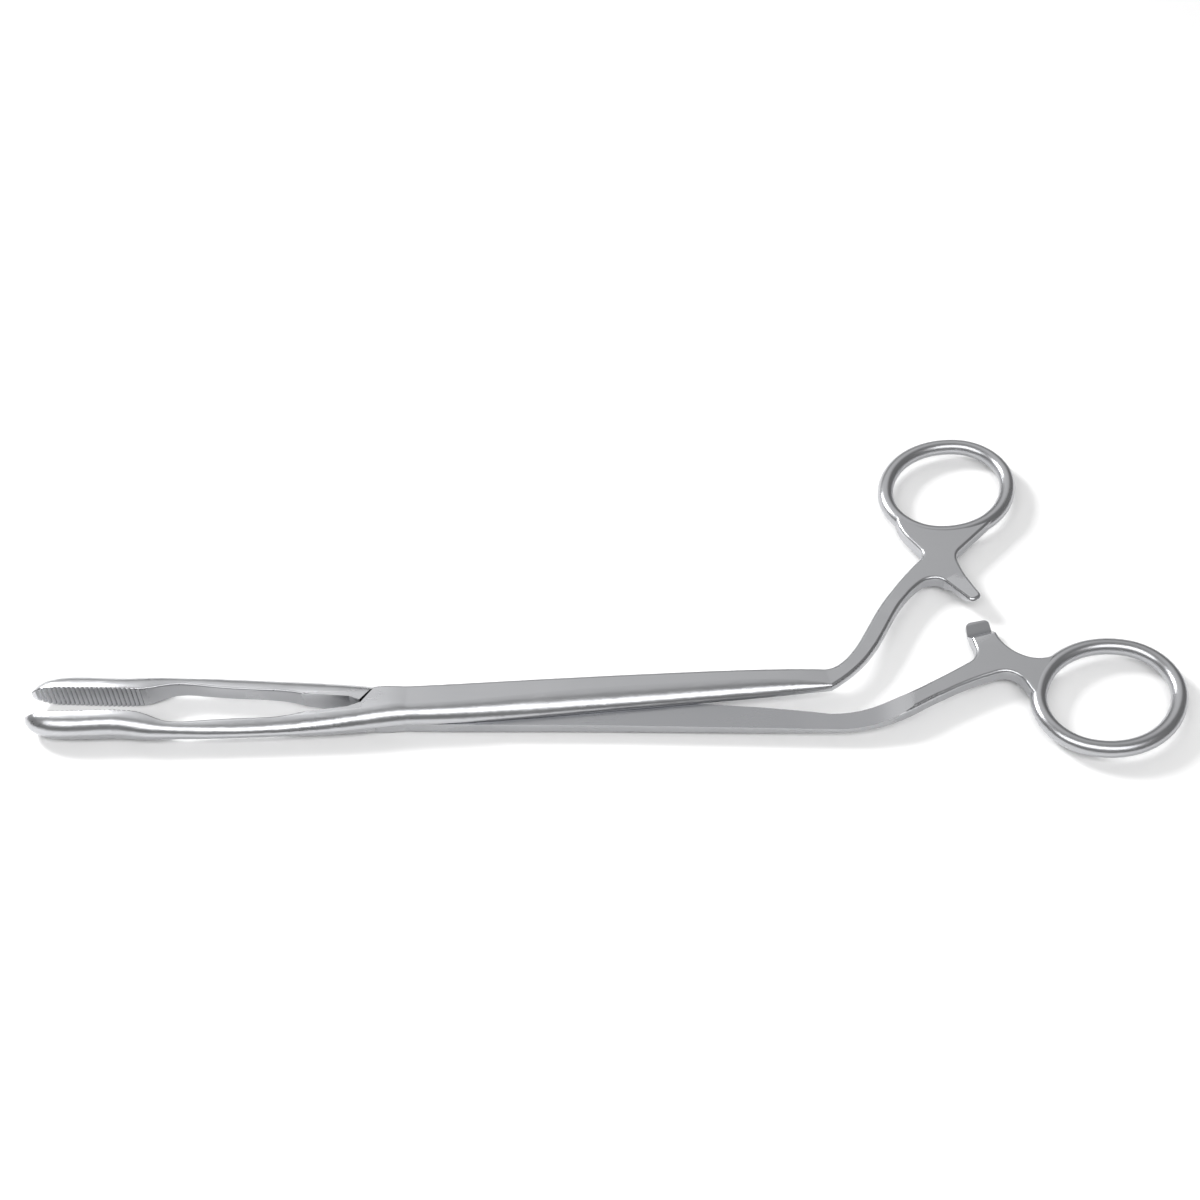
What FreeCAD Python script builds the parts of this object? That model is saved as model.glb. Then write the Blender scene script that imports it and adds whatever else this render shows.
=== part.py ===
"""Long dressing forceps with a lap joint, serrated jaws and handles angled to one side.

The row frame: the origin lies on the joint's axis, on the surface the forceps rest on; +X runs from the
jaws to the handles, +Z up. Each half is drawn in the closed pose and turned open by its own placement.
"""
import FreeCAD, Part
import Sketcher
import os
from collections import namedtuple
from FreeCAD import Placement, Rotation, Vector
from math import atan2, cos, degrees, pi, radians, sin

SIZES = {
    # The lap joint
    "mid_height": 3.5,             # parting plane above the resting surface
    "parting_gap": 0.10,           # running gap between the two lapped faces
    "joint_half_width": 4.4,
    "joint_half_height": 3.35,
    "shoulder_distance": 8.6,      # from the pivot to the milled shoulder
    "shoulder_angle": 144.8,       # direction of the shoulder's normal
    "shoulder_clearance": 0.25,
    "lower_opening": 2.45,         # each half's turn from closed to the photographed pose
    "upper_opening": 1.8,
    # The pivot screw
    "screw_radius": 1.7,
    "screw_head_radius": 2.75,
    "screw_head_height": 1.2,
    "screw_clearance": 0.05,
    "screw_skin": 0.6,             # steel left over the screw's end
    "slot_width": 0.7,
    "slot_depth": 0.6,
    # The jaws and front arms
    "front_reach": 84.8,           # from the pivot to the jaw tips
    "jaw_length": 26.0,
    "jaw_half_height": 3.45,
    "jaw_depth": 4.8,
    "tip_gap": 0.1,                # half the gap between the tips when closed
    "jaw_taper": 0.02,             # how fast the closed jaws part behind the tips
    "arm_half_height": 2.0,
    "arm_depth": 3.4,
    "arm_back": 6.35,              # the arms' backs, from the closed forceps' centre line
    "back_rounding": 3.5,          # width of the rounded back edge, from the jaws through the joint
    "serration_start": 1.2,        # from the jaw tip
    "serration_count": 23,
    "serration_pitch": 1.05,
    "serration_depth": 0.4,
    # The shanks
    "shank_length": 95.0,          # from the pivot to the bend
    "shank_corner": 0.8,           # rounding of the shanks' inner edges
    "relief_reach": 97.0,          # where the lap relief starts to fade out
    "relief_ramp": 22.0,
    # The handles, ratchet stubs and finger rings
    "handle_half_height": 1.8,
    "handle_corner": 0.8,
    "ring_major": 16.8,            # centreline semi-axes of the finger rings
    "ring_minor": 14.0,
    "ring_end_radius": 12.0,       # of the two end arcs of the oval
    "ring_wire": 3.8,              # the round ring bar's thickness
    "tooth_land": 0.2,             # height of each stub's ratchet land off the parting plane
}

doc = FreeCAD.newDocument("DressingForceps")
sheet = doc.addObject("Spreadsheet::Sheet", "Sizes")
for row, (alias, value) in enumerate(SIZES.items(), start=1):
    sheet.set(f"A{row}", alias)
    sheet.set(f"B{row}", str(value))
    sheet.setAlias(f"B{row}", alias)
doc.recompute()


def size(alias):
    """The value of one cell of the sheet."""
    return float(sheet.get(alias))


def sketch_on(body, name, offset=Placement()):
    """An empty sketch attached to the body's own XY plane."""
    plane = next(item for item in body.Origin.OriginFeatures if item.Role == "XY_Plane")
    sketch = body.newObject("Sketcher::SketchObject", name)
    sketch.AttachmentSupport = [(plane, "")]
    sketch.MapMode = "FlatFace"
    sketch.AttachmentOffset = offset
    return sketch


def upright(x, y, heading):
    """Where an upright sketch stands: its X runs across the heading, its Y up from the parting plane."""
    turn = Rotation(Vector(0, 0, 1), heading)
    stand = Rotation(Vector(0, 1, 0), Vector(0, 0, 1), Vector(1, 0, 0), "XYZ")
    return Placement(Vector(x, y, size("mid_height")), turn * stand)


def polygon(sketch, points):
    """A closed straight-sided outline."""
    corners = [Vector(*point, 0) for point in points]
    for number, start in enumerate(corners):
        sketch.addGeometry(Part.LineSegment(start, corners[(number + 1) % len(corners)]), False)


def bow(start, middle, end):
    """The arc from start through middle to end, given to the sketch anticlockwise as it needs it."""
    circle = Part.Circle(start, middle, end)
    if (middle - start).cross(end - middle).z < 0:
        start, end = end, start
    centre = circle.Center
    first = atan2(start.y - centre.y, start.x - centre.x)
    last = atan2(end.y - centre.y, end.x - centre.x)
    level = Part.Circle(centre, Vector(0, 0, 1), circle.Radius)
    return Part.ArcOfCircle(level, first, last if last > first else last + 2 * pi)


def cut(body, name, sketch, length=None, rising=False):
    """A pocket through the body from the sketch, upwards where rising, else both ways."""
    before = body.Shape.Volume
    pocket = body.newObject("PartDesign::Pocket", name)
    pocket.Profile = sketch
    if rising:
        pocket.Type = "Length"
        pocket.Length = 20.0
        pocket.Reversed = rising > 0
    else:
        pocket.Midplane = True
        pocket.Length = length or 60.0
    doc.recompute()
    if body.Shape.Volume >= before - 1e-6:
        raise RuntimeError(f"{body.Label}: {name} cuts nothing")
    return pocket


def leaving(start, heading, end):
    """The middle of the arc that leaves start along the heading (degrees) and reaches end."""
    chord = end - start
    bend = atan2(chord.y, chord.x) - radians(heading)
    return (start + end) * 0.5 + Vector(chord.y, -chord.x, 0) * (sin(bend / 2) / cos(bend / 2) / 2)


def corner(start, middle, end):
    """A quarter of a circle or ellipse between two sides that would meet in the middle point."""
    across, up = middle - start, end - middle
    if abs(across.Length - up.Length) < 1e-6:
        return bow(start, start + across * sin(pi / 4) + up * (1 - cos(pi / 4)), end)
    fullness = 0.5523
    curve = Part.BSplineCurve()
    poles = [start, start + (middle - start) * fullness, end + (middle - end) * fullness, end]
    curve.buildFromPolesMultsKnots(poles, [4, 4], [0.0, 1.0], False, 3)
    return curve


# A cross-section of a half: where it stands in plan, which way the bar runs there (degrees), its two plan
# edges measured across the bar, its half height and the width and height of its rounded corners.
Section = namedtuple("Section", "x y heading low high half low_corner high_corner")


def add_section(body, name, shape):
    """The section's sketch, upright across the bar: four straight sides and four rounded corners."""
    sketch = sketch_on(body, name, upright(shape.x, shape.y, shape.heading))
    sketch.setExpression(".AttachmentOffset.Base.z", "Sizes.mid_height")
    (low_y, low_z), (high_y, high_z) = shape.low_corner, shape.high_corner
    low, high, half = shape.low, shape.high, shape.half
    ring = [(low, low_z - half), (low, half - low_z), (low, half), (low + low_y, half),
            (high - high_y, half), (high, half), (high, half - high_z),
            (high, high_z - half), (high, -half), (high - high_y, -half),
            (low + low_y, -half), (low, -half)]
    at = [Vector(*point, 0) for point in ring]
    for start in range(0, 12, 3):
        sketch.addGeometry(Part.LineSegment(at[start], at[start + 1]), False)
        sketch.addGeometry(corner(at[start + 1], at[start + 2], at[(start + 3) % 12]), False)
    return sketch


def loft_bar(body, name, shapes):
    """One stretch of the forged bar through its sections."""
    sketches = [add_section(body, f"{name}Section{number}", shape) for number, shape in enumerate(shapes)]
    loft = body.newObject("PartDesign::AdditiveLoft", name)
    loft.Profile = (sketches[0], [""])
    loft.Sections = [(sketch, [""]) for sketch in sketches[1:]]
    loft.Ruled = False
    doc.recompute()
    return loft


def front_sections(side):
    """The jaw and front arm from the tip to the joint; side is +1 or -1 for the side the jaw lies on."""
    tip, rear = -size("front_reach"), size("jaw_length") - size("front_reach")
    depth, tall, gap, back = size("jaw_depth"), size("jaw_half_height"), size("tip_gap"), size("arm_back")
    arm, arm_tall = size("arm_depth"), size("arm_half_height")
    joint, joint_tall = size("joint_half_width"), size("joint_half_height")

    def face(x):
        return gap + size("jaw_taper") * (x - tip)

    jaw = [(tip, 0.26, 0.3), (tip + 0.8, 0.46, 0.5), (tip + 2.2, 0.68, 0.74), (tip + 4.5, 0.87, 0.9),
           (tip + 9.0, 1.0, 0.95), (rear - 3.5, 1.0, 0.965)]
    table = [(x, face(x), face(x) + wide * depth, high * tall) for x, wide, high in jaw]
    table += [
        # x, inner edge, outer edge, half height
        (rear + 0.5, face(rear) + 0.6, 0.93 * back, 0.87 * tall),
        (rear + 4.8, back - 0.3 - 0.95 * arm, back - 0.3, 0.7 * tall),
        (rear + 12.5, back - 0.05 - 0.96 * arm, back - 0.05, 1.06 * arm_tall),
        (rear + 22.0, back - 1.1 * arm, back, arm_tall),
        (-24.0, back - 1.35 * arm, 0.97 * back, 0.7 * joint_tall),
        (-14.5, -0.45 * joint, 0.9 * back, 0.87 * joint_tall),
        (-8.0, -0.97 * joint, 0.81 * back, 0.97 * joint_tall),
    ]
    shapes = []
    for x, inner, outer, half in table:
        back_corner = (min(0.8 * (outer - inner), size("back_rounding")), 0.92 * half)
        edge_corner = (0.4, 0.4)
        if side > 0:
            shapes.append(Section(x, 0, 0, inner, outer, half, edge_corner, back_corner))
        else:
            shapes.append(Section(x, 0, 0, -outer, -inner, half, back_corner, edge_corner))
    return shapes


def shank_sections(side, edges):
    """The straight shank from the joint to the bend, from its plan edges at shares of its length.

    The jaw's rounded back runs on along one edge of the shank, which is side +1 or -1.
    """
    tall, thin = size("joint_half_height"), size("handle_half_height") + 0.2
    shapes = []
    for share, low, high, back in edges:
        half = tall + (thin - tall) * share ** 2
        rounded, plain = (back, 0.92 * half), (size("shank_corner"), size("shank_corner"))
        corners = (plain, rounded) if side > 0 else (rounded, plain)
        shapes.append(Section(share * size("shank_length"), 0, 0, low, high, half, *corners))
    return shapes


def handle_sections(stations):
    """The angled handle: plan position, heading and width at each station."""
    half, rounding = size("handle_half_height"), size("handle_corner")
    return [Section(x, y, heading, -width / 2, width / 2, half, (rounding, rounding), (rounding, rounding))
            for x, y, heading, width in stations]


def add_web(body, root, high_side, wall, low_side):
    """The flat end of a handle, which carries the stub and flares into the ring.

    Each side leaves the root section along the handle and goes on without a kink: a point ends the next
    arc and a number is a straight run. Inside the ring's bar one arc through the wall point joins them.
    """
    half = size("handle_half_height")
    across = Vector(-sin(radians(root.heading)), cos(radians(root.heading)), 0)
    sketch = sketch_on(body, "WebOutline", Placement(Vector(0, 0, size("mid_height") - half), Rotation()))
    sketch.setExpression(".AttachmentOffset.Base.z", "Sizes.mid_height - Sizes.handle_half_height")
    middles, starts, ends = [], [], []
    for edge, side in ((root.high, high_side), (root.low, low_side)):
        at, heading = Vector(root.x, root.y, 0) + across * edge, root.heading
        starts.append(at)
        for step in side:
            if isinstance(step, tuple):
                end = Vector(*step, 0)
                middle = leaving(at, heading, end)
                stretch = bow(at, middle, end)
                heading = 2 * degrees(atan2(end.y - at.y, end.x - at.x)) - heading
            else:
                end = at + Vector(cos(radians(heading)), sin(radians(heading)), 0) * step
                middle = (at + end) * 0.5
                stretch = Part.LineSegment(at, end)
            sketch.addGeometry(stretch, False)
            middles.append(middle)
            at = end
        ends.append(at)
    sketch.addGeometry(bow(ends[0], Vector(*wall, 0), ends[1]), False)
    sketch.addGeometry(Part.LineSegment(starts[1], starts[0]), False)
    pad = body.newObject("PartDesign::Pad", "Web")
    pad.Profile = sketch
    pad.setExpression("Length", "2 * Sizes.handle_half_height")
    doc.recompute()
    names = []
    for number, edge in enumerate(pad.Shape.Edges, start=1):
        if edge.BoundBox.ZLength > 1e-6:
            continue
        middle = edge.valueAt(sum(edge.ParameterRange) / 2)
        if any(Vector(middle.x, middle.y, 0).distanceToPoint(spot) < 1e-3 for spot in middles):
            names.append(f"Edge{number}")
    fillet = body.newObject("PartDesign::Fillet", "WebRounding")
    fillet.Base = (pad, names)
    fillet.setExpression("Radius", "Sizes.handle_corner")
    doc.recompute()
    return fillet


def add_ring(body, centre, tilt):
    """The finger ring: a round bar turned round four arcs, with the oval's long axis tilted in plan."""
    major, minor, end = size("ring_major"), size("ring_minor"), size("ring_end_radius")
    flank = ((major - end) ** 2 + minor ** 2 - end ** 2) / (2 * (minor - end))
    turn = degrees(atan2(flank - minor, major - end))
    wire = size("ring_wire") / 2
    arcs = [(major - end, 0, end, -turn, 2 * turn), (0, minor - flank, flank, turn, 180 - 2 * turn),
            (end - major, 0, end, 180 - turn, 2 * turn), (0, flank - minor, flank, 180 + turn, 180 - 2 * turn)]
    for number, (along, beside, radius, first, sweep) in enumerate(arcs, start=1):
        pivot = Rotation(Vector(0, 0, 1), tilt).multVec(Vector(along, beside, 0))
        bar = sketch_on(body, f"RingBar{number}",
                        upright(centre[0] + pivot.x, centre[1] + pivot.y, tilt + first - 90))
        bar.setExpression(".AttachmentOffset.Base.z", "Sizes.mid_height")
        bar.addGeometry(Part.Circle(Vector(radius, 0, 0), Vector(0, 0, 1), wire), False)
        stretch = body.newObject("PartDesign::Revolution", f"Ring{number}")
        stretch.Profile = bar
        stretch.ReferenceAxis = (bar, ["V_Axis"])
        stretch.Angle = sweep
        doc.recompute()


def add_crotch(body, side):
    """Opens the space between the arms, up to the slanted end of the half's own joint plate."""
    normal = radians(size("shoulder_angle"))
    away = size("shoulder_distance") - size("shoulder_clearance")
    back, arm = size("arm_back"), size("arm_depth")
    start = -24.0

    def plate_end(y):
        return (-(away - abs(y) * sin(normal)) / abs(cos(normal)), -side * abs(y))

    near = 2.0 * size("joint_half_width")
    inner = back - 1.35 * arm
    apex = -size("shoulder_distance") / abs(cos(normal))
    points = [(start, side * inner), (start + 11, side * (inner - 0.8)), (apex, 0), plate_end(0), plate_end(near),
              (start, -side * near)]
    sketch = sketch_on(body, "CrotchOutline")
    polygon(sketch, points)
    cut(body, "Crotch", sketch)


def add_relief(body, side):
    """Mills the lap: half the thickness goes, from the slanted shoulder to the bend, then fades out
    over two arcs.
    """
    normal = radians(size("shoulder_angle"))
    reach, ramp, wide = size("relief_reach"), size("relief_ramp"), 12.0
    plane = size("mid_height") - side * size("parting_gap") / 2

    def shoulder(y):
        return (-(size("shoulder_distance") - y * sin(normal)) / abs(cos(normal)), side * y)

    sketch = sketch_on(body, "ReliefOutline", Placement(Vector(0, 0, plane), Rotation()))
    sketch.setExpression(".AttachmentOffset.Base.z", f"Sizes.mid_height - {side} * Sizes.parting_gap / 2")
    polygon(sketch, [shoulder(-wide), shoulder(wide), (reach, side * wide), (reach, -side * wide)])
    cut(body, "Relief", sketch, rising=side)
    level, top = -side * size("parting_gap") / 2, side * (size("handle_half_height") + 0.3)
    start, end = Vector(0, level, 0), Vector(-ramp, top, 0)
    middle = (start + end) * 0.5
    profile = sketch_on(body, "RampProfile", upright(reach, 0, 90))
    profile.addGeometry(bow(start, leaving(start, 180, middle), middle), False)
    profile.addGeometry(bow(middle, leaving(end, 0, middle), end), False)
    above = [end, Vector(-ramp, 4 * top, 0), Vector(0, 4 * top, 0), start]
    for first, last in zip(above, above[1:]):
        profile.addGeometry(Part.LineSegment(first, last), False)
    cut(body, "Ramp", profile, length=60.0)


def add_serrations(body, side):
    """Cross grooves over the flat face of the jaw; the two jaws' grooves are half a pitch apart."""
    pitch, deep, slope = size("serration_pitch"), size("serration_depth"), size("jaw_taper")
    along = size("serration_start") + (0.25 if side > 0 else 0.75) * pitch
    place = Placement(Vector(along - size("front_reach"), side * (size("tip_gap") + slope * along), 0),
                      Rotation(Vector(0, 0, 1), side * degrees(slope)))
    sketch = sketch_on(body, "GrooveOutline", place)
    polygon(sketch, [(-pitch / 2, 0), (0, side * deep), (pitch / 2, 0), (pitch / 2, -side * deep),
                     (-pitch / 2, -side * deep)])
    groove = cut(body, "Groove", sketch, length=20.0)
    pattern = body.newObject("PartDesign::LinearPattern", "Serrations")
    pattern.Originals = [groove]
    pattern.Direction = (sketch, ["H_Axis"])
    pattern.setExpression("Length", "Sizes.serration_pitch * (Sizes.serration_count - 1)")
    pattern.setExpression("Occurrences", "Sizes.serration_count")
    body.Tip = pattern
    doc.recompute()


def add_bore(body, name, radius, low, high):
    """A round bore on the joint's axis between two heights, each given as the sheet's expression."""
    sketch = sketch_on(body, f"{name}Circle")
    sketch.setExpression(".AttachmentOffset.Base.z", low)
    sketch.addGeometry(Part.Circle(Vector(0, 0, 0), Vector(0, 0, 1), 1.0), False)
    sketch.addConstraint(Sketcher.Constraint("Coincident", 0, 3, -1, 1))
    sketch.addConstraint(Sketcher.Constraint("Radius", 0, 1.0))
    sketch.renameConstraint(1, "radius")
    sketch.setExpression("Constraints.radius", radius)
    before = body.Shape.Volume
    pocket = body.newObject("PartDesign::Pocket", name)
    pocket.Profile = sketch
    pocket.Reversed = True
    pocket.setExpression("Length", f"{high} - ({low})")
    doc.recompute()
    if body.Shape.Volume >= before - 1e-6:
        raise RuntimeError(f"{body.Label}: {name} cuts nothing")


def add_ratchet(body, side, tip, outwards, profile):
    """Mills the stub's meeting face: a land at the tip and a ramp back to the full thickness."""
    wide = 9.0
    sketch = sketch_on(body, "RatchetProfile", upright(*tip, outwards - 90))
    polygon(sketch, [(along, side * up) for along, up in profile])
    cut(body, "Ratchet", sketch, length=wide)


def build_half(name, side, joint, edges, stations, web, ring_centre, ring_tilt):
    """One half of the forceps as a body: forged bar, flat handle end and ring, then the milled features."""
    body = doc.addObject("PartDesign::Body", f"Half{name.title()}")
    body.Label = f"half_{name}"
    doc.recompute()
    shank = shank_sections(side, [(0.0, *joint, size("back_rounding"))] + edges)
    handle = handle_sections(stations)
    add_web(body, handle[-1], *web)
    add_ring(body, ring_centre, ring_tilt)
    loft_bar(body, "Handle", handle)
    loft_bar(body, "Shank", shank + handle[:1])
    loft_bar(body, "Front", front_sections(side) + shank[:1])
    add_crotch(body, side)
    add_relief(body, side)
    return body


lower = build_half(
    "lower", 1,
    # plan edges at the joint
    (-4.0, 4.4),
    # share of the shank's length, low and high plan edges, width of the rounded back
    [(0.09, -3.8, 4.4, 3.6), (0.36, -2.8, 4.5, 4.4), (0.7, -2.0, 4.4, 4.0), (0.9, -1.6, 3.6, 2.6)],
    # plan position, heading and width of the handle
    [(95.0, 0.7, 5.5, 4.3), (103.0, 1.95, 15.5, 4.55), (108.5, 4.05, 26, 4.55), (114.0, 7.15, 31.3, 4.3),
     (119.3, 10.5, 32.6, 4.3)],
    # the web: concave root of the stub, stub with its rounded end and flare into the ring; wall; underside
    ([(126.7, 18.05), (128.45, 22.7), 2.8, (127.35, 29.6), (128.6, 31.2), 2.9, (132.9, 31.0), (134.2, 26.0),
      (140.2, 20.3), (148.2, 22.7)],
     (143.1, 14.7),
     [(133.07, 15.04), (138.81, 12.7), 8.1]),
    (157.5, 10.4), 32.5)
thick, land = size("handle_half_height"), size("tooth_land")
add_ratchet(lower, 1, (130.3, 31.6), 110,
            [(1.5, -land), (-0.5, -land), (-3.3, -0.6), (-5.75, thick), (-5.75, 6.0), (1.5, 6.0)])
add_bore(lower, "ScrewBore", "Sizes.screw_radius + Sizes.screw_clearance", "0", "Sizes.mid_height")
add_bore(lower, "HeadRecess", "Sizes.screw_head_radius + Sizes.screw_clearance", "0",
         "Sizes.mid_height - Sizes.joint_half_height + Sizes.screw_head_height + 0.15")
add_serrations(lower, 1)

upper = build_half(
    "upper", -1,
    (-4.4, 4.4),
    [(0.09, -4.3, 4.65, 3.6), (0.36, -2.85, 5.75, 4.6), (0.7, -0.35, 7.05, 4.2), (0.9, 1.2, 7.5, 3.0)],
    [(95.0, 4.85, 12, 5.4), (99.2, 7.4, 37, 3.95), (103.1, 11.5, 53, 3.95), (107.5, 18.3, 58.5, 4.2),
     (114.46, 29.35, 54, 3.9)],
    ([(121.47, 40.5), (121.83, 43.5), 4.5, (117.6, 54.9)],
     (126.5, 50.1),
     [(120.6, 32.95), (124.6, 34.0), (126.2, 33.08), 7.3, (132.5, 27.1), 0.9, (133.85, 29.3), 4.0,
      (130.35, 39.6), (131.53, 43.15), 9.5, (141.6, 53.3)]),
    (132.0, 65.1), 40.35)
add_ratchet(upper, -1, (132.6, 27.4), 298,
            [(1.5, -1.25), (0.0, -1.25), (-1.7, 0.05), (-6.0, 0.05), (-8.5, thick), (-8.5, 6.0), (1.5, 6.0)])
add_bore(upper, "ScrewThread", "Sizes.screw_radius", "Sizes.mid_height - 1",
         "Sizes.mid_height + Sizes.joint_half_height - Sizes.screw_skin")
add_serrations(upper, -1)

lower.setExpression("Placement.Rotation.Angle", "-Sizes.lower_opening")
upper.setExpression("Placement.Rotation.Angle", "Sizes.upper_opening")

base = "Sizes.mid_height - Sizes.joint_half_height"
shaft = doc.addObject("Part::Cylinder", "ScrewShaft")
shaft.setExpression("Radius", "Sizes.screw_radius")
shaft.setExpression("Placement.Base.z", f"{base} + 0.1")
shaft.setExpression("Height", "2 * Sizes.joint_half_height - Sizes.screw_skin - 0.1")
head = doc.addObject("Part::Cylinder", "ScrewHead")
head.setExpression("Radius", "Sizes.screw_head_radius")
head.setExpression("Height", "Sizes.screw_head_height")
head.setExpression("Placement.Base.z", f"{base} + 0.1")
blank = doc.addObject("Part::Fuse", "ScrewBlank")
blank.Base, blank.Tool = head, shaft
slot = doc.addObject("Part::Box", "ScrewSlot")
slot.setExpression("Length", "2 * Sizes.screw_head_radius + 2")
slot.setExpression("Width", "Sizes.slot_width")
slot.setExpression("Height", "Sizes.slot_depth + 1")
slot.setExpression("Placement.Base.x", "-Sizes.screw_head_radius - 1")
slot.setExpression("Placement.Base.y", "-Sizes.slot_width / 2")
slot.setExpression("Placement.Base.z", f"{base} + 0.1 - 1")
screw = doc.addObject("Part::Cut", "PivotScrew")
screw.Base, screw.Tool = blank, slot
screw.Label = "pivot_screw"
doc.recompute()

for item in doc.Objects:
    if "Invalid" in item.State or "Error" in item.State:
        raise RuntimeError(f"{item.Label} does not build: {item.State}")
os.makedirs("parts", exist_ok=True)
for item in (lower, upper, screw):
    if item.Shape.isNull() or not item.Shape.isValid():
        raise RuntimeError(f"{item.Label} is not a sound solid")
    item.Shape.exportStep(f"parts/{item.Label}.step")
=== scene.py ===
"""Long dressing forceps in satin stainless steel, lying on a pale studio floor."""
import bpy
from math import cos, radians, sin
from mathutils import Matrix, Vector

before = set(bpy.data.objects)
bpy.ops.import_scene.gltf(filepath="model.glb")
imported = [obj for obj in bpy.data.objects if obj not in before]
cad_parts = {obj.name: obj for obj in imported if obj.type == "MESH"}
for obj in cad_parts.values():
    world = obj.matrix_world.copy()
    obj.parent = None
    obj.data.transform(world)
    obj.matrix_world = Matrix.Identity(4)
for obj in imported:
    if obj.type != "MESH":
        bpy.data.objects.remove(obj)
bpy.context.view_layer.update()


# The two halves: the jaw, arm, shank, handle and finger ring of each are one forging in stainless steel.
# It is milled and ground to shape, then blasted to an even satin; rubbed edges shine a little more, and
# painted shade
# # darkens the low lap faces and the crevices of the joint and the jaws' grooves.
class Socket:
    """An output of a material's node tree; arithmetic on it adds Math nodes."""

    def __init__(self, tree, output=None):
        self.tree = tree
        self.output = output

    def node(self, kind, settings=None, inputs=None, output=0):
        """Adds a node: its settings first, then the values or links of its sockets."""
        made = self.tree.nodes.new(kind)
        for name, value in (settings or {}).items():
            setattr(made, name, value)
        for name, value in (inputs or {}).items():
            if isinstance(value, Socket):
                self.tree.links.new(value.output, made.inputs[name])
            else:
                made.inputs[name].default_value = value
        return Socket(self.tree, made.outputs[output])

    def shown(self, shader, kind):
        """Links a finished shader to the tree's output."""
        self.tree.links.new(shader.output, self.tree.nodes.new(kind).inputs["Surface"])

    def maths(self, operation, *others):
        return self.node("ShaderNodeMath", {"operation": operation}, dict(enumerate((self, *others))))

    def flipped(self, operation, other):
        return self.node("ShaderNodeMath", {"operation": operation}, {0: other, 1: self})

    def __add__(self, other):
        return self.maths("ADD", other)

    __radd__ = __add__

    def __mul__(self, other):
        return self.maths("MULTIPLY", other)

    __rmul__ = __mul__

    def __sub__(self, other):
        return self.maths("SUBTRACT", other)

    def __rsub__(self, other):
        return self.flipped("SUBTRACT", other)

    def clamped(self, low, high):
        """This value spread so that low becomes 0 and high becomes 1."""
        settings = {"interpolation_type": "SMOOTHSTEP"}
        return self.node("ShaderNodeMapRange", settings, {"Value": self, "From Min": low, "From Max": high})

    def mixed(self, other, share):
        """This colour with a share of another colour in it."""
        return self.node("ShaderNodeMix", {"data_type": "RGBA"}, {0: share, 6: self, 7: other}, output=2)


def steel(name, colour, worn_colour, painted_shade_colour, roughness, grain_scale, grain_height):
    """Satin steel: even blasted grain, edges rubbed brighter, and painted shade on the low lap faces and in
    crevices.
    """
    made = bpy.data.materials.new(name)
    made.use_nodes = True
    tree = made.node_tree
    tree.nodes.clear()
    start = Socket(tree)
    place = start.node("ShaderNodeTexCoord", output="Object")
    grain = start.node("ShaderNodeTexNoise", None, {"Vector": place, "Scale": grain_scale, "Detail": 3.0})
    cloud = start.node("ShaderNodeTexNoise", None, {"Vector": place, "Scale": 55.0, "Detail": 4.0})
    streak_place = start.node("ShaderNodeMapping", None, {"Vector": place, "Scale": (0.03, 1.0, 1.0)})
    streak = start.node("ShaderNodeTexNoise", None, {"Vector": streak_place, "Scale": 2600.0, "Detail": 2.0})
    worn = start.node("ShaderNodeNewGeometry", output="Pointiness").clamped(0.505, 0.56)
    base = start.node("ShaderNodeRGB")
    base.output.default_value = (*colour, 1.0)
    rubbed = start.node("ShaderNodeRGB")
    rubbed.output.default_value = (*worn_colour, 1.0)
    painted_shade = start.node("ShaderNodeRGB")
    painted_shade.output.default_value = (*painted_shade_colour, 1.0)
    height = start.node("ShaderNodeSeparateXYZ", None, {"Vector": place}, output="Z")
    facing = start.node("ShaderNodeNewGeometry", output="Normal")
    upward = start.node("ShaderNodeSeparateXYZ", None, {"Vector": facing}, output="Z").clamped(0.9, 0.99)
    # Painted shade: faces that look up and lie below about 4 to 5 mm, the laps under the other half's edge,
    # are darkened.
    low_lap_painted_shade = upward * (1.0 - height.clamped(0.0038, 0.0052))
    # Painted shade: ambient occlusion darkens the base colour in the seam of the joint and in the grooves of
    # the jaws.
    open_air = start.node("ShaderNodeAmbientOcclusion", {"samples": 8}, {"Distance": 0.0012}, output="AO")
    crevice_painted_shade = 1.0 - open_air
    tone = base.mixed(rubbed, worn * 0.5 + (cloud - 0.5) * 0.3)
    # The painted shade colour goes into the low lap faces and the crevices.
    tone = tone.mixed(painted_shade, (low_lap_painted_shade * 0.5 + crevice_painted_shade * 1.4).clamped(0.0, 1.0))
    rough = roughness + (cloud - 0.5) * 0.08 + (streak - 0.5) * 0.08 - worn * 0.08
    bump = start.node("ShaderNodeBump", None,
                      {"Height": grain * 0.7 + streak * 0.3, "Strength": 0.35, "Distance": grain_height})
    shader = start.node("ShaderNodeBsdfPrincipled", None,
                        {"Base Color": tone, "Metallic": 1.0, "Roughness": rough, "Normal": bump})
    start.shown(shader, "ShaderNodeOutputMaterial")
    return made


# The third colour is the painted shade colour for the laps and crevices.
satin = steel("satin_steel", (0.47, 0.475, 0.49), (0.62, 0.625, 0.64), (0.27, 0.275, 0.29),
              0.31, 9000.0, 0.000008)
for name in ("half_lower", "half_upper"):
    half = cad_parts[name]
    half.data.materials.clear()
    half.data.materials.append(satin)

# The pivot screw: a short slotted screw, its flat head sunk in the underside of the lower half and its
# thread held in the upper half. It is turned from the same steel, so it is a touch smoother.
# The third colour is the painted shade colour for the laps and crevices.
turned = steel("turned_steel", (0.45, 0.455, 0.47), (0.60, 0.605, 0.62), (0.25, 0.255, 0.27),
               0.27, 12000.0, 0.000005)
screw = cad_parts["pivot_screw"]
screw.data.materials.clear()
screw.data.materials.append(turned)

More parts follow.
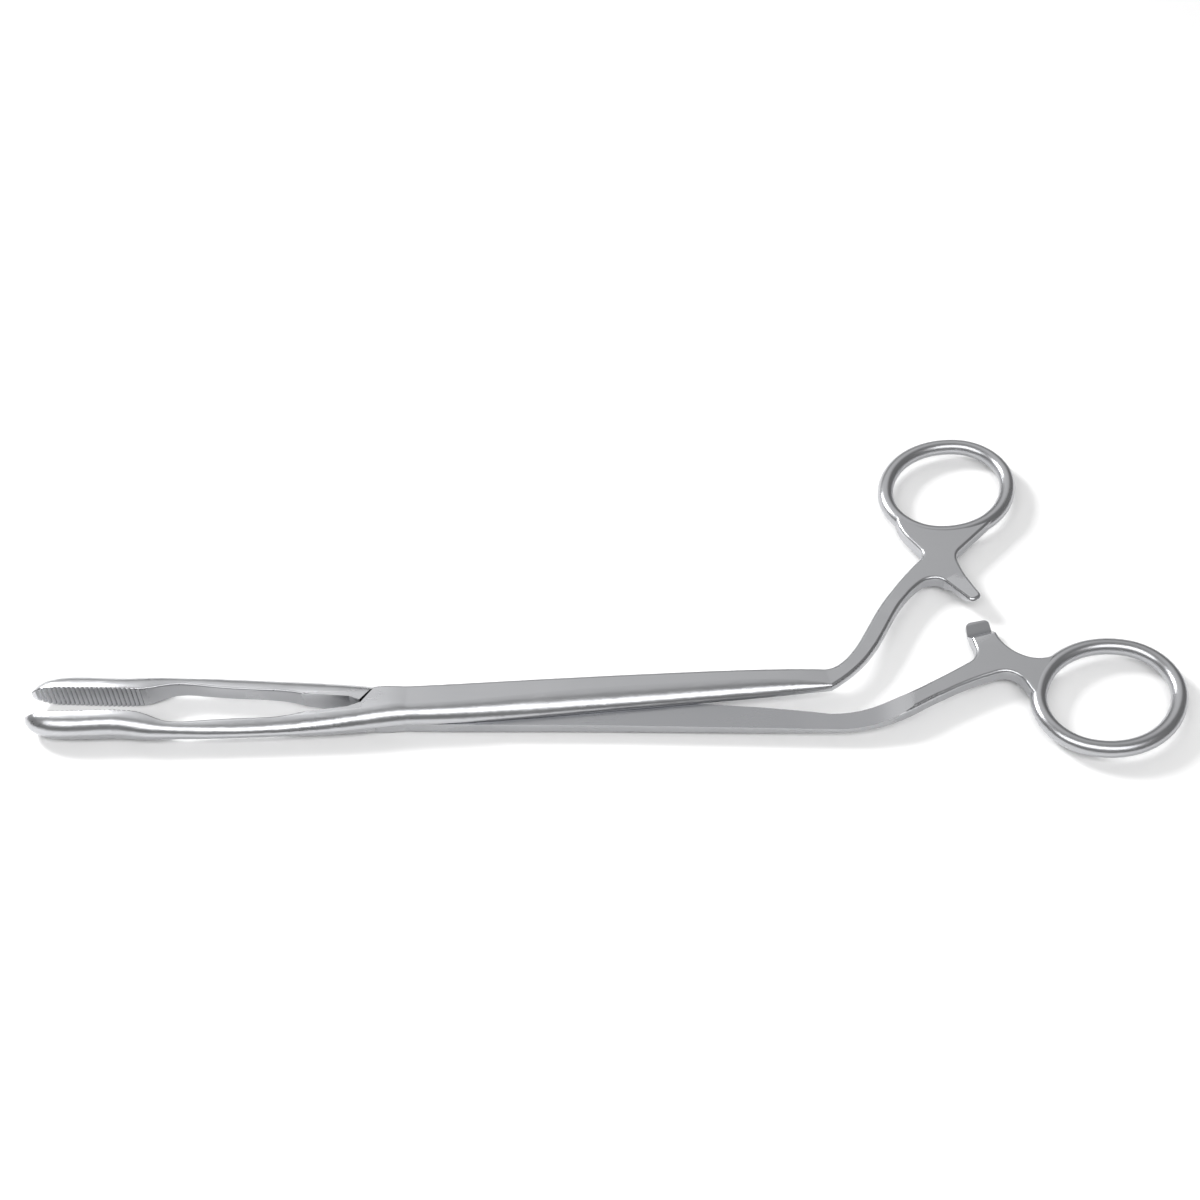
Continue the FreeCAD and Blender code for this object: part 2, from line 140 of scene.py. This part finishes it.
# The studio: white paper under the forceps, and a surround that is pale behind them and dark elsewhere, so
# that the flats reflect an even grey and every rounded edge goes dark, bright and dark again.
floor_half = 3.0
floor_mesh = bpy.data.meshes.new("floor")
floor_mesh.from_pydata([(-floor_half, -floor_half, 0), (floor_half, -floor_half, 0),
                        (floor_half, floor_half, 0), (-floor_half, floor_half, 0)], [], [(0, 1, 2, 3)])
floor = bpy.data.objects.new("floor", floor_mesh)
bpy.context.scene.collection.objects.link(floor)
paper = bpy.data.materials.new("white_paper")
paper.use_nodes = True
paper.node_tree.nodes.clear()
sheet = Socket(paper.node_tree)
seen = sheet.node("ShaderNodeLightPath", output="Is Camera Ray")
matt = sheet.node("ShaderNodeBsdfDiffuse", None, {"Color": (0.95, 0.95, 0.95, 1.0)})
plain = sheet.node("ShaderNodeEmission", None, {"Color": (1.0, 1.0, 1.0, 1.0), "Strength": 1.0})
sheet.shown(sheet.node("ShaderNodeMixShader", None, {0: seen * 0.05, 1: matt, 2: plain}),
            "ShaderNodeOutputMaterial")
floor.data.materials.append(paper)

world = bpy.data.worlds.new("studio")
bpy.context.scene.world = world
world.use_nodes = True
world.node_tree.nodes.clear()
air = Socket(world.node_tree)
heading = air.node("ShaderNodeTexCoord", output="Generated")
pale = heading.node("ShaderNodeVectorMath", {"operation": "DOT_PRODUCT"},
                    {0: heading, 1: (-0.08, 0.65, 0.755)}, output="Value").clamped(0.80, 0.97)
dark_wall, pale_wall, white = [
    air.node("ShaderNodeBackground", None, {"Color": (1.0, 1.0, 1.0, 1.0), "Strength": level})
    for level in (0.24, 0.88, 1.0)]
surround = air.node("ShaderNodeMixShader", None, {0: pale, 1: dark_wall, 2: pale_wall})
seen = air.node("ShaderNodeLightPath", output="Is Camera Ray")
air.shown(air.node("ShaderNodeMixShader", None, {0: seen, 1: surround, 2: white}), "ShaderNodeOutputWorld")


def soft_lamp(name, place, width, depth, power):
    """A rectangular softbox that faces the middle of the forceps."""
    light = bpy.data.lights.new(name, "AREA")
    light.shape = "RECTANGLE"
    light.size = width
    light.size_y = depth
    light.energy = power
    lamp = bpy.data.objects.new(name, light)
    lamp.location = place
    lamp.rotation_mode = "QUATERNION"
    lamp.rotation_quaternion = (Vector((0.04, 0.03, 0.0)) - lamp.location).to_track_quat("-Z", "Y")
    bpy.context.scene.collection.objects.link(lamp)


# One long softbox hangs over the near side, and a smaller one behind on the left throws the soft shadows.
soft_lamp("long_softbox", (0.04, -0.36, 0.68), 1.2, 0.38, 4.6)
soft_lamp("back_softbox", (-0.50, 0.42, 0.46), 0.22, 0.22, 7.0)

# The camera stands at the photograph's angle, looking down at 49 degrees square to the shanks.
aim = Vector((0.0431, 0.0355, 0.0))
away = 0.4065
elevation = radians(49.0)
camera_data = bpy.data.cameras.new("camera")
camera_data.sensor_width = 36.0
camera_data.lens = 51.0
camera = bpy.data.objects.new("camera", camera_data)
camera.rotation_euler = (radians(90.0) - elevation, 0.0, 0.0)
camera.location = aim + Vector((0.0, -cos(elevation), sin(elevation))) * away
bpy.context.scene.collection.objects.link(camera)
bpy.context.scene.camera = camera
bpy.context.scene.view_settings.view_transform = "Standard"
